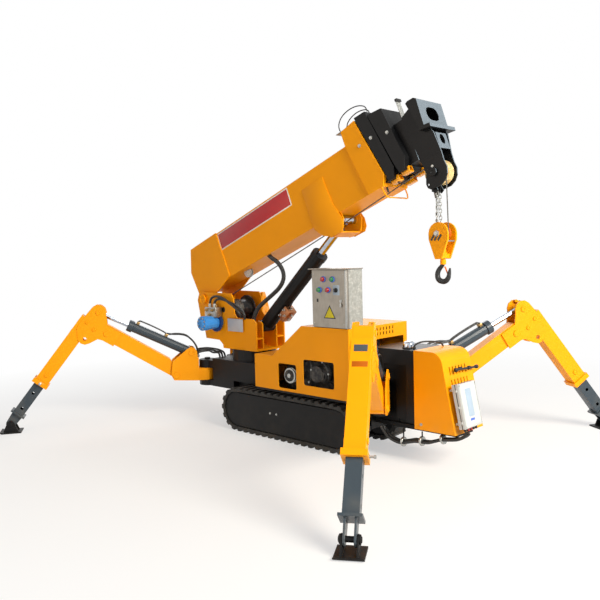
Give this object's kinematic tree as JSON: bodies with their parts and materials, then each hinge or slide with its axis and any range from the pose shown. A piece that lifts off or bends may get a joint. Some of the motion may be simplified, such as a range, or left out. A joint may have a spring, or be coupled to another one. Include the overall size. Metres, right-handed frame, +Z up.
{
  "type": "spider crane",
  "caption": "Compact tracked spider crane with a telescopic boom on a slewing post, a hook block and folding outriggers.",
  "frame": {"origin": "on the ground at the centre of the four outrigger feet, the middle of the bounding box's bottom", "axes": "+X along the machine towards its power pack, the way the boom points at rest; +Y to the right side; +Z up"},
  "size_m": [4.7414, 4.0258, 2.9313],
  "materials": {
    "main_frame": "satin black",
    "track": "matt black rubber",
    "track_frame": "satin black",
    "hood": "gloss yellow",
    "engine": "dark cast iron",
    "switch_box": "brushed stainless",
    "tank": "black",
    "rear_housing": "gloss yellow",
    "controller": "light grey",
    "switch_box_door": "brushed stainless",
    "turret": "gloss yellow",
    "winch_motor": "gloss blue",
    "winch_drum": "slate grey",
    "boom_base": "gloss yellow",
    "boom_section_2": "satin black",
    "boom_section_3": "satin black",
    "boom_head": "satin black with slate front",
    "head_sheaves": "cream nylon",
    "hook_block": "gloss yellow",
    "hoist_rope": "steel wire rope",
    "block_sheave": "cream nylon",
    "hook": "black forged",
    "derrick_rod": "hard chrome",
    "derrick_cylinder": "satin black",
    "swing_bracket": "gloss yellow",
    "inner_arm": "gloss yellow",
    "outer_arm": "gloss yellow",
    "extension": "slate grey",
    "foot": "slate grey",
    "cylinder": "slate grey",
    "cylinder_rod": "hard chrome"
  },
  "bodies": {
    "chassis": {"main_frame": "main_frame", "left_track": "track", "right_track": "track", "left_track_frame": "track_frame", "right_track_frame": "track_frame", "hood": "hood", "engine": "engine", "switch_box": "switch_box", "tank": "tank", "rear_housing": "rear_housing", "controller": "controller"},
    "box_door": {"switch_box_door": "switch_box_door"},
    "turret": {"turret": "turret", "winch_motor": "winch_motor"},
    "winch": {"winch_drum": "winch_drum"},
    "boom": {"boom_base": "boom_base"},
    "section_2": {"boom_section_2": "boom_section_2"},
    "section_3": {"boom_section_3": "boom_section_3"},
    "head": {"boom_head": "boom_head"},
    "sheaves": {"head_sheaves": "head_sheaves"},
    "block": {"hook_block": "hook_block", "hoist_rope": "hoist_rope"},
    "block_wheel": {"block_sheave": "block_sheave"},
    "hook": {"hook": "hook"},
    "derrick_rod": {"derrick_rod": "derrick_rod"},
    "derrick_cylinder": {"derrick_cylinder": "derrick_cylinder"},
    "front_left_bracket": {"front_left_swing_bracket": "swing_bracket"},
    "front_left_inner": {"front_left_inner_arm": "inner_arm"},
    "front_left_outer": {"front_left_outer_arm": "outer_arm"},
    "front_left_tube": {"front_left_extension": "extension"},
    "front_left_foot": {"front_left_foot": "foot"},
    "front_left_barrel": {"front_left_cylinder": "cylinder"},
    "front_left_rod": {"front_left_cylinder_rod": "cylinder_rod"},
    "front_right_bracket": {"front_right_swing_bracket": "swing_bracket"},
    "front_right_inner": {"front_right_inner_arm": "inner_arm"},
    "front_right_outer": {"front_right_outer_arm": "outer_arm"},
    "front_right_tube": {"front_right_extension": "extension"},
    "front_right_foot": {"front_right_foot": "foot"},
    "front_right_barrel": {"front_right_cylinder": "cylinder"},
    "front_right_rod": {"front_right_cylinder_rod": "cylinder_rod"},
    "rear_left_bracket": {"rear_left_swing_bracket": "swing_bracket"},
    "rear_left_inner": {"rear_left_inner_arm": "inner_arm"},
    "rear_left_outer": {"rear_left_outer_arm": "outer_arm"},
    "rear_left_tube": {"rear_left_extension": "extension"},
    "rear_left_foot": {"rear_left_foot": "foot"},
    "rear_left_barrel": {"rear_left_cylinder": "cylinder"},
    "rear_left_rod": {"rear_left_cylinder_rod": "cylinder_rod"},
    "rear_right_bracket": {"rear_right_swing_bracket": "swing_bracket"},
    "rear_right_inner": {"rear_right_inner_arm": "inner_arm"},
    "rear_right_outer": {"rear_right_outer_arm": "outer_arm"},
    "rear_right_tube": {"rear_right_extension": "extension"},
    "rear_right_foot": {"rear_right_foot": "foot"},
    "rear_right_barrel": {"rear_right_cylinder": "cylinder"},
    "rear_right_rod": {"rear_right_cylinder_rod": "cylinder_rod"}
  },
  "joints": [
    {"name": "slew", "type": "hinge", "parent": "chassis", "child": "turret", "pos_m": [-0.62, 0, 0.75], "axis": [0, 0, 1], "continuous": true},
    {"name": "boom_luff", "type": "hinge", "parent": "turret", "child": "boom", "pos_m": [-1.17, 0, 1.265], "axis": [0, -1, 0], "range_deg": [-8, 57]},
    {"name": "boom_slide_2", "type": "slide", "parent": "boom", "child": "section_2", "axis": [0.9336, 0, 0.3584], "range_m": [0, 1.8]},
    {"name": "boom_slide_3", "type": "slide", "parent": "section_2", "child": "section_3", "axis": [0.9336, 0, 0.3584], "range_m": [0, 1.8]},
    {"name": "boom_slide_4", "type": "slide", "parent": "section_3", "child": "head", "axis": [0.9336, 0, 0.3584], "range_m": [0, 1.8]},
    {"name": "derrick_rod_tilt", "type": "hinge", "parent": "boom", "child": "derrick_rod", "pos_m": [0.66294, 0, 2.01787], "axis": [0, -1, 0], "range_deg": [-2, 3]},
    {"name": "derrick_barrel_slide", "type": "slide", "parent": "derrick_rod", "child": "derrick_cylinder", "axis": [-0.7335, 0, -0.6797], "range_m": [-0.14, 0.76]},
    {"name": "winch_spin", "type": "hinge", "parent": "turret", "child": "winch", "pos_m": [-0.86, 0, 1.165], "axis": [0, 1, 0], "continuous": true},
    {"name": "sheave_spin", "type": "hinge", "parent": "head", "child": "sheaves", "pos_m": [1.64941, 0, 2.34727], "axis": [0, 1, 0], "continuous": true},
    {"name": "hook_swing", "type": "hinge", "parent": "head", "child": "block", "pos_m": [1.64941, 0, 2.34727], "axis": [0, 1, 0], "range_deg": [-20, 57]},
    {"name": "block_sheave_spin", "type": "hinge", "parent": "block", "child": "block_wheel", "pos_m": [1.6745, 0, 1.862], "axis": [0, 1, 0], "continuous": true},
    {"name": "hook_swivel", "type": "hinge", "parent": "block", "child": "hook", "pos_m": [1.6745, 0, 1.6], "axis": [0, 0, 1], "continuous": true},
    {"name": "box_door", "type": "hinge", "parent": "chassis", "child": "box_door", "pos_m": [0.6117, -0.4143, 1.33], "axis": [0, 0, -1], "range_deg": [0, 110]},
    {"name": "front_left_swing", "type": "hinge", "parent": "chassis", "child": "front_left_bracket", "pos_m": [-1.163, -0.19, 0.48], "axis": [0, 0, 1], "range_deg": [-32.5, 32.5]},
    {"name": "front_left_lift", "type": "hinge", "parent": "front_left_bracket", "child": "front_left_inner", "pos_m": [-1.34622, -0.4776, 0.481], "axis": [-0.8434, 0.5373, 0], "range_deg": [-12, 35]},
    {"name": "front_left_knee_fold", "type": "hinge", "parent": "front_left_inner", "child": "front_left_outer", "pos_m": [-1.71642, -1.05869, 0.958], "axis": [0.8434, -0.5373, 0], "range_deg": [0, 80]},
    {"name": "front_left_tube_slide", "type": "slide", "parent": "front_left_outer", "child": "front_left_tube", "axis": [-0.3286, -0.5158, -0.7912], "range_m": [-0.34, 0.3]},
    {"name": "front_left_foot_tilt", "type": "hinge", "parent": "front_left_tube", "child": "front_left_foot", "pos_m": [-2.2376, -1.87678, 0.092], "axis": [-0.8434, 0.5373, 0], "range_deg": [-20, 20]},
    {"name": "front_left_barrel_tilt", "type": "hinge", "parent": "front_left_bracket", "child": "front_left_barrel", "pos_m": [-1.25703, -0.33759, 0.709], "axis": [-0.8434, 0.5373, 0], "range_deg": [-13, 37]},
    {"name": "front_left_rod_slide", "type": "slide", "parent": "front_left_barrel", "child": "front_left_rod", "axis": [-0.4798, -0.7532, 0.4499], "range_m": [-0.18, 0.08]},
    {"name": "front_right_swing", "type": "hinge", "parent": "chassis", "child": "front_right_bracket", "pos_m": [-1.163, 0.19, 0.48], "axis": [0, 0, -1], "range_deg": [-32.5, 32.5]},
    {"name": "front_right_lift", "type": "hinge", "parent": "front_right_bracket", "child": "front_right_inner", "pos_m": [-1.34622, 0.4776, 0.481], "axis": [0.8434, 0.5373, 0], "range_deg": [-12, 35]},
    {"name": "front_right_knee_fold", "type": "hinge", "parent": "front_right_inner", "child": "front_right_outer", "pos_m": [-1.71642, 1.05869, 0.958], "axis": [-0.8434, -0.5373, 0], "range_deg": [0, 80]},
    {"name": "front_right_tube_slide", "type": "slide", "parent": "front_right_outer", "child": "front_right_tube", "axis": [-0.3286, 0.5158, -0.7912], "range_m": [-0.34, 0.3]},
    {"name": "front_right_foot_tilt", "type": "hinge", "parent": "front_right_tube", "child": "front_right_foot", "pos_m": [-2.2376, 1.87678, 0.092], "axis": [0.8434, 0.5373, 0], "range_deg": [-20, 20]},
    {"name": "front_right_barrel_tilt", "type": "hinge", "parent": "front_right_bracket", "child": "front_right_barrel", "pos_m": [-1.25703, 0.33759, 0.709], "axis": [0.8434, 0.5373, 0], "range_deg": [-13, 37]},
    {"name": "front_right_rod_slide", "type": "slide", "parent": "front_right_barrel", "child": "front_right_rod", "axis": [-0.4798, 0.7532, 0.4499], "range_m": [-0.18, 0.08]},
    {"name": "rear_left_swing", "type": "hinge", "parent": "chassis", "child": "rear_left_bracket", "pos_m": [1.163, -0.19, 0.48], "axis": [0, 0, -1], "range_deg": [-32.5, 32.5]},
    {"name": "rear_left_lift", "type": "hinge", "parent": "rear_left_bracket", "child": "rear_left_inner", "pos_m": [1.34622, -0.4776, 0.481], "axis": [-0.8434, -0.5373, 0], "range_deg": [-12, 35]},
    {"name": "rear_left_knee_fold", "type": "hinge", "parent": "rear_left_inner", "child": "rear_left_outer", "pos_m": [1.71642, -1.05869, 0.958], "axis": [0.8434, 0.5373, 0], "range_deg": [0, 80]},
    {"name": "rear_left_tube_slide", "type": "slide", "parent": "rear_left_outer", "child": "rear_left_tube", "axis": [0.3286, -0.5158, -0.7912], "range_m": [-0.34, 0.3]},
    {"name": "rear_left_foot_tilt", "type": "hinge", "parent": "rear_left_tube", "child": "rear_left_foot", "pos_m": [2.2376, -1.87678, 0.092], "axis": [-0.8434, -0.5373, 0], "range_deg": [-20, 20]},
    {"name": "rear_left_barrel_tilt", "type": "hinge", "parent": "rear_left_bracket", "child": "rear_left_barrel", "pos_m": [1.25703, -0.33759, 0.709], "axis": [-0.8434, -0.5373, 0], "range_deg": [-13, 37]},
    {"name": "rear_left_rod_slide", "type": "slide", "parent": "rear_left_barrel", "child": "rear_left_rod", "axis": [0.4798, -0.7532, 0.4499], "range_m": [-0.18, 0.08]},
    {"name": "rear_right_swing", "type": "hinge", "parent": "chassis", "child": "rear_right_bracket", "pos_m": [1.163, 0.19, 0.48], "axis": [0, 0, 1], "range_deg": [-32.5, 32.5]},
    {"name": "rear_right_lift", "type": "hinge", "parent": "rear_right_bracket", "child": "rear_right_inner", "pos_m": [1.34622, 0.4776, 0.481], "axis": [0.8434, -0.5373, 0], "range_deg": [-12, 35]},
    {"name": "rear_right_knee_fold", "type": "hinge", "parent": "rear_right_inner", "child": "rear_right_outer", "pos_m": [1.71642, 1.05869, 0.958], "axis": [-0.8434, 0.5373, 0], "range_deg": [0, 80]},
    {"name": "rear_right_tube_slide", "type": "slide", "parent": "rear_right_outer", "child": "rear_right_tube", "axis": [0.3286, 0.5158, -0.7912], "range_m": [-0.34, 0.3]},
    {"name": "rear_right_foot_tilt", "type": "hinge", "parent": "rear_right_tube", "child": "rear_right_foot", "pos_m": [2.2376, 1.87678, 0.092], "axis": [0.8434, -0.5373, 0], "range_deg": [-20, 20]},
    {"name": "rear_right_barrel_tilt", "type": "hinge", "parent": "rear_right_bracket", "child": "rear_right_barrel", "pos_m": [1.25703, 0.33759, 0.709], "axis": [0.8434, -0.5373, 0], "range_deg": [-13, 37]},
    {"name": "rear_right_rod_slide", "type": "slide", "parent": "rear_right_barrel", "child": "rear_right_rod", "axis": [0.4798, 0.7532, 0.4499], "range_m": [-0.18, 0.08]}
  ],
  "couplings": [
    {"joint": "boom_slide_3", "follows": "boom_slide_2", "ratio": 1},
    {"joint": "boom_slide_4", "follows": "boom_slide_2", "ratio": 1},
    {"joint": "derrick_rod_tilt", "follows": "boom_luff", "ratio": 0.03},
    {"joint": "derrick_barrel_slide", "follows": "boom_luff", "m_per_rad": 0.7506},
    {"joint": "front_left_barrel_tilt", "follows": "front_left_lift", "ratio": 1.03},
    {"joint": "front_left_rod_slide", "follows": "front_left_lift", "m_per_rad": -0.27},
    {"joint": "front_right_barrel_tilt", "follows": "front_right_lift", "ratio": 1.03},
    {"joint": "front_right_rod_slide", "follows": "front_right_lift", "m_per_rad": -0.27},
    {"joint": "rear_left_barrel_tilt", "follows": "rear_left_lift", "ratio": 1.03},
    {"joint": "rear_left_rod_slide", "follows": "rear_left_lift", "m_per_rad": -0.27},
    {"joint": "rear_right_barrel_tilt", "follows": "rear_right_lift", "ratio": 1.03},
    {"joint": "rear_right_rod_slide", "follows": "rear_right_lift", "m_per_rad": -0.27}
  ]
}
